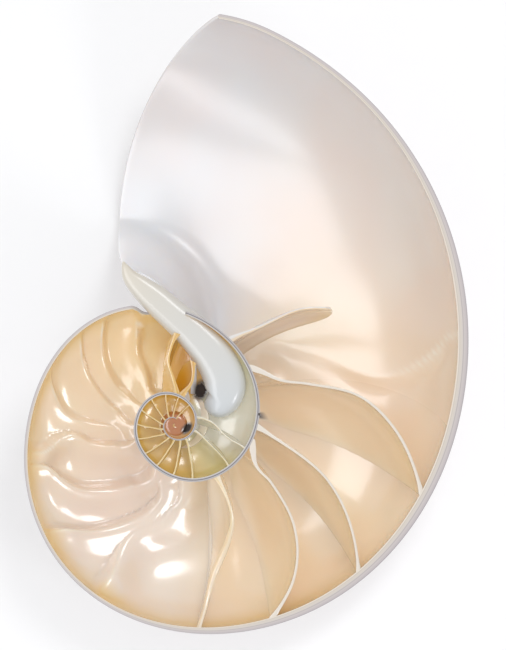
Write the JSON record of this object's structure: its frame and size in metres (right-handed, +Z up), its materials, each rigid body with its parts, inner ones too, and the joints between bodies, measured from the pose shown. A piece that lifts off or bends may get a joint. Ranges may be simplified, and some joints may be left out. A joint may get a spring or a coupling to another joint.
{
  "type": "nautilus shell half",
  "caption": "Chambered nautilus shell sawn in half along its plane of symmetry, its pearly spiral of curved chambers open upwards; lies on its rounded flank as a display piece.",
  "frame": {"origin": "middle of the foot of the shell's box as it lies: the surface it rests on is z = 0", "axes": "+Z up; the sawn face looks up, tipped about 13 degrees towards -Y and +X; +Y towards the lip, along the shell's longest side"},
  "size_m": [0.1168, 0.1626, 0.0489],
  "materials": {
    "nacre": "polished mother of pearl, cream to peach inside the chambers and white in the body chamber"
  },
  "bodies": {
    "root": {"nautilus_shell_half": "nacre"}
  },
  "joints": []
}
